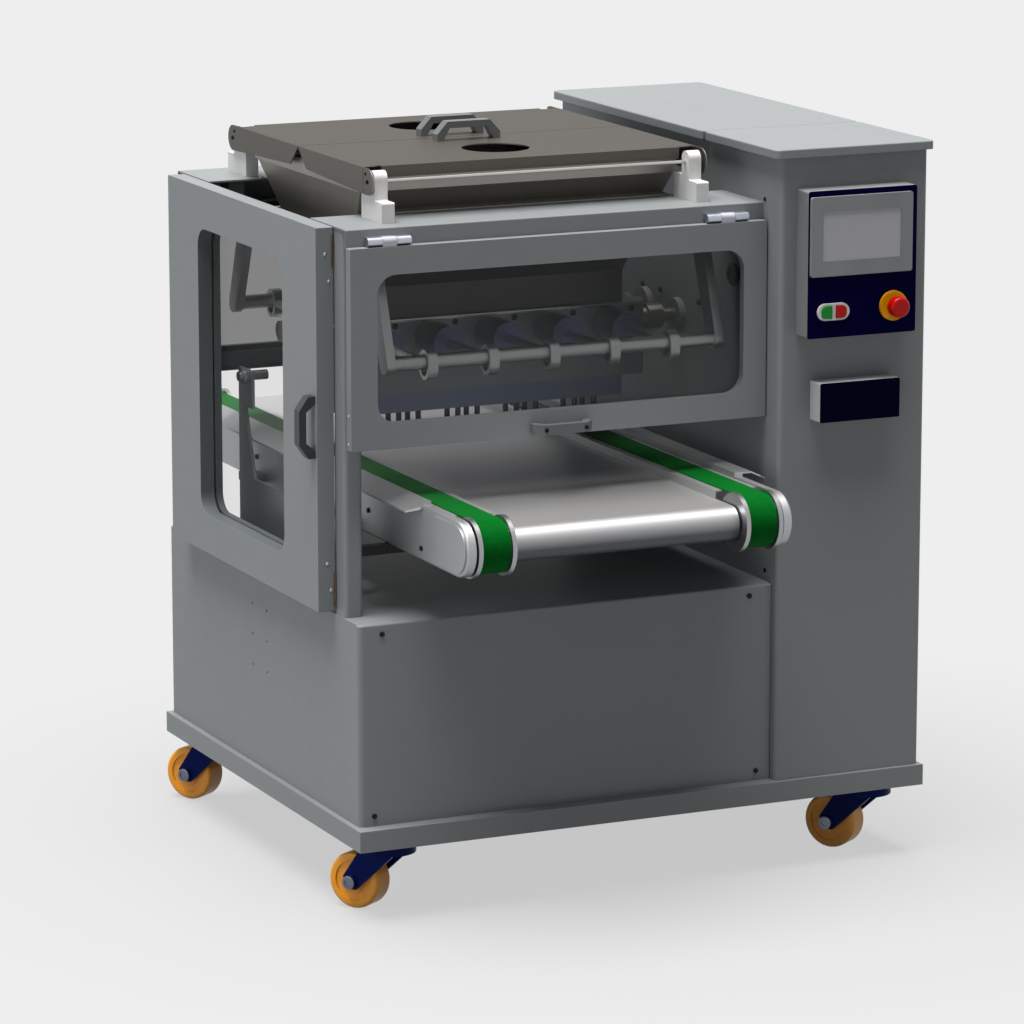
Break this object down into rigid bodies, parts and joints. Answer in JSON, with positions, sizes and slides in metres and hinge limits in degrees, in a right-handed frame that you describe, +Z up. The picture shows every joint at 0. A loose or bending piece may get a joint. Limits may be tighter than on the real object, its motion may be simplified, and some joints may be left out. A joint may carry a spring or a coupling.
{
  "type": "batter depositor",
  "caption": "Floor-standing batter depositor with a two-leaf hopper lid, piston dosing head behind flap doors, belt tray conveyor, control cabinet with touch panel, and swivel casters.",
  "frame": {"origin": "on the floor under the middle of the bounding box", "axes": "+X to the control cabinet, +Y along the conveyor to the rear, +Z up"},
  "size_m": [1.152, 1.373, 1.321],
  "materials": {
    "painted_grey": "satin paint",
    "stainless": "brushed",
    "lid_steel": "brushed",
    "alloy": "satin",
    "blue_alloy": "anodised",
    "white_plastic": "matte",
    "grey_plastic": "matte",
    "dark_plastic": "matte",
    "panel_navy": "satin paint",
    "clear_pane": "clear acrylic",
    "tinted_pane": "tinted acrylic",
    "screen": "gloss",
    "belt_green": "matte",
    "wheel_amber": "satin polyurethane",
    "fork_blue": "gloss paint",
    "cast_drive": "painted casting",
    "button_green": "gloss",
    "button_red": "gloss",
    "collar_yellow": "matte",
    "zinc": "zinc plated",
    "black_steel": "black oxide"
  },
  "bodies": {
    "machine": {"base_tray": "painted_grey", "lower_cabinet": "painted_grey", "lower_front_panel": "painted_grey", "corner_posts": "painted_grey", "top_ledges": "painted_grey", "tower_cabinet": "painted_grey", "tower_lids": "painted_grey", "panel_screws": "black_steel", "hopper": "stainless", "saddle_blocks": "white_plastic", "lid_hinge_rods": "stainless", "valve_body": "alloy", "cylinders": "blue_alloy", "nozzle_beam": "blue_alloy", "nozzles": "stainless", "shaft_bearings": "white_plastic", "drive_unit": "cast_drive", "conveyor_sides": "alloy", "conveyor_bed": "stainless", "conveyor_belts": "belt_green", "tray_sensor": "stainless", "control_box": "panel_navy", "hmi_bezel": "grey_plastic", "hmi_screen": "screen", "button_surround": "white_plastic", "estop_collar": "collar_yellow", "nameplate_box": "painted_grey", "door_hinges": "zinc"},
    "side_door": {"side_door_panel": "painted_grey", "side_door_window": "clear_pane", "side_door_handle": "dark_plastic"},
    "front_door": {"front_door_panel": "painted_grey", "front_door_window": "tinted_pane", "front_door_handle": "grey_plastic"},
    "rear_door": {"rear_door_panel": "painted_grey", "rear_door_window": "tinted_pane", "rear_door_handle": "grey_plastic"},
    "lid_front": {"hopper_lid_front": "lid_steel", "lid_handle_front": "grey_plastic"},
    "lid_rear": {"hopper_lid_rear": "lid_steel", "lid_handle_rear": "grey_plastic"},
    "start_button": {"start_button": "button_green"},
    "stop_button": {"stop_button": "button_red"},
    "estop_button": {"estop_button": "button_red"},
    "front_roller": {"front_roller": "alloy"},
    "rear_roller": {"rear_roller": "alloy"},
    "rocker_front": {"rocker_front": "stainless"},
    "rocker_rear": {"rocker_rear": "stainless"},
    "pistons_front": {"piston_rods_front": "white_plastic"},
    "pistons_rear": {"piston_rods_rear": "white_plastic"},
    "valve_front": {"valve_spool_front": "stainless"},
    "valve_rear": {"valve_spool_rear": "stainless"},
    "caster_fork_front_left": {"caster_fork_front_left": "fork_blue"},
    "caster_wheel_front_left": {"caster_wheel_front_left": "wheel_amber"},
    "caster_fork_front_right": {"caster_fork_front_right": "fork_blue"},
    "caster_wheel_front_right": {"caster_wheel_front_right": "wheel_amber"},
    "caster_fork_rear_left": {"caster_fork_rear_left": "fork_blue"},
    "caster_wheel_rear_left": {"caster_wheel_rear_left": "wheel_amber"},
    "caster_fork_rear_right": {"caster_fork_rear_right": "fork_blue"},
    "caster_wheel_rear_right": {"caster_wheel_rear_right": "wheel_amber"}
  },
  "joints": [
    {"name": "side_door_hinge", "type": "hinge", "parent": "machine", "child": "side_door", "pos_m": [-0.522, 0.367, 0.8625], "axis": [0, 0, -1], "range_deg": [0, 110]},
    {"name": "front_door_hinge", "type": "hinge", "parent": "machine", "child": "front_door", "pos_m": [-0.1195, -0.405, 1.176], "axis": [-1, 0, 0], "range_deg": [0, 105]},
    {"name": "rear_door_hinge", "type": "hinge", "parent": "machine", "child": "rear_door", "pos_m": [-0.1195, 0.405, 1.176], "axis": [1, 0, 0], "range_deg": [0, 105]},
    {"name": "lid_front_hinge", "type": "hinge", "parent": "machine", "child": "lid_front", "pos_m": [-0.12, -0.311, 1.264], "axis": [1, 0, 0], "range_deg": [0, 100]},
    {"name": "lid_rear_hinge", "type": "hinge", "parent": "machine", "child": "lid_rear", "pos_m": [-0.12, 0.311, 1.264], "axis": [-1, 0, 0], "range_deg": [0, 100]},
    {"name": "start_push", "type": "slide", "parent": "machine", "child": "start_button", "axis": [0, 1, 0], "range_m": [0, 0.003], "stiffness_N_per_m": 400, "springref_m": -0.002},
    {"name": "stop_push", "type": "slide", "parent": "machine", "child": "stop_button", "axis": [0, 1, 0], "range_m": [0, 0.003], "stiffness_N_per_m": 400, "springref_m": -0.002},
    {"name": "estop_push", "type": "slide", "parent": "machine", "child": "estop_button", "axis": [0, 1, 0], "range_m": [0, 0.005], "stiffness_N_per_m": 800, "springref_m": -0.003},
    {"name": "rear_roller_spin", "type": "hinge", "parent": "machine", "child": "rear_roller", "pos_m": [-0.114, 0.635, 0.687], "axis": [1, 0, 0], "continuous": true},
    {"name": "front_roller_spin", "type": "hinge", "parent": "machine", "child": "front_roller", "pos_m": [-0.114, -0.635, 0.687], "axis": [1, 0, 0], "continuous": true},
    {"name": "rocker_front_swing", "type": "hinge", "parent": "machine", "child": "rocker_front", "pos_m": [-0.1055, -0.288, 1.1255], "axis": [1, 0, 0], "range_deg": [0, 14.5]},
    {"name": "rocker_rear_swing", "type": "hinge", "parent": "machine", "child": "rocker_rear", "pos_m": [-0.1055, 0.288, 1.1255], "axis": [-1, 0, 0], "range_deg": [0, 14.5]},
    {"name": "pistons_front_stroke", "type": "slide", "parent": "machine", "child": "pistons_front", "axis": [0, 1, 0], "range_m": [0, 0.0451]},
    {"name": "pistons_rear_stroke", "type": "slide", "parent": "machine", "child": "pistons_rear", "axis": [0, -1, 0], "range_m": [0, 0.0451]},
    {"name": "valve_front_turn", "type": "hinge", "parent": "machine", "child": "valve_front", "pos_m": [-0.1115, -0.066, 0.9485], "axis": [1, 0, 0], "range_deg": [0, 90]},
    {"name": "valve_rear_turn", "type": "hinge", "parent": "machine", "child": "valve_rear", "pos_m": [-0.1115, 0.066, 0.9485], "axis": [-1, 0, 0], "range_deg": [0, 90]},
    {"name": "front_left_swivel", "type": "hinge", "parent": "machine", "child": "caster_fork_front_left", "pos_m": [-0.442, -0.398, 0.129], "axis": [0, 0, 1], "continuous": true},
    {"name": "front_left_roll", "type": "hinge", "parent": "caster_fork_front_left", "child": "caster_wheel_front_left", "pos_m": [-0.47555, -0.34826, 0.05], "axis": [0.829, 0.5592, 0], "continuous": true},
    {"name": "front_right_swivel", "type": "hinge", "parent": "machine", "child": "caster_fork_front_right", "pos_m": [0.494, -0.398, 0.129], "axis": [0, 0, 1], "continuous": true},
    {"name": "front_right_roll", "type": "hinge", "parent": "caster_fork_front_right", "child": "caster_wheel_front_right", "pos_m": [0.46045, -0.34826, 0.05], "axis": [0.829, 0.5592, 0], "continuous": true},
    {"name": "rear_left_swivel", "type": "hinge", "parent": "machine", "child": "caster_fork_rear_left", "pos_m": [-0.442, 0.398, 0.129], "axis": [0, 0, 1], "continuous": true},
    {"name": "rear_left_roll", "type": "hinge", "parent": "caster_fork_rear_left", "child": "caster_wheel_rear_left", "pos_m": [-0.47555, 0.44774, 0.05], "axis": [0.829, 0.5592, 0], "continuous": true},
    {"name": "rear_right_swivel", "type": "hinge", "parent": "machine", "child": "caster_fork_rear_right", "pos_m": [0.494, 0.398, 0.129], "axis": [0, 0, 1], "continuous": true},
    {"name": "rear_right_roll", "type": "hinge", "parent": "caster_fork_rear_right", "child": "caster_wheel_rear_right", "pos_m": [0.46045, 0.44774, 0.05], "axis": [0.829, 0.5592, 0], "continuous": true}
  ],
  "couplings": [
    {"joint": "front_roller_spin", "follows": "rear_roller_spin", "ratio": 1},
    {"joint": "rocker_rear_swing", "follows": "rocker_front_swing", "ratio": 1},
    {"joint": "pistons_front_stroke", "follows": "rocker_front_swing", "m_per_rad": 0.1781},
    {"joint": "pistons_rear_stroke", "follows": "rocker_front_swing", "m_per_rad": 0.1781},
    {"joint": "valve_rear_turn", "follows": "valve_front_turn", "ratio": 1}
  ]
}
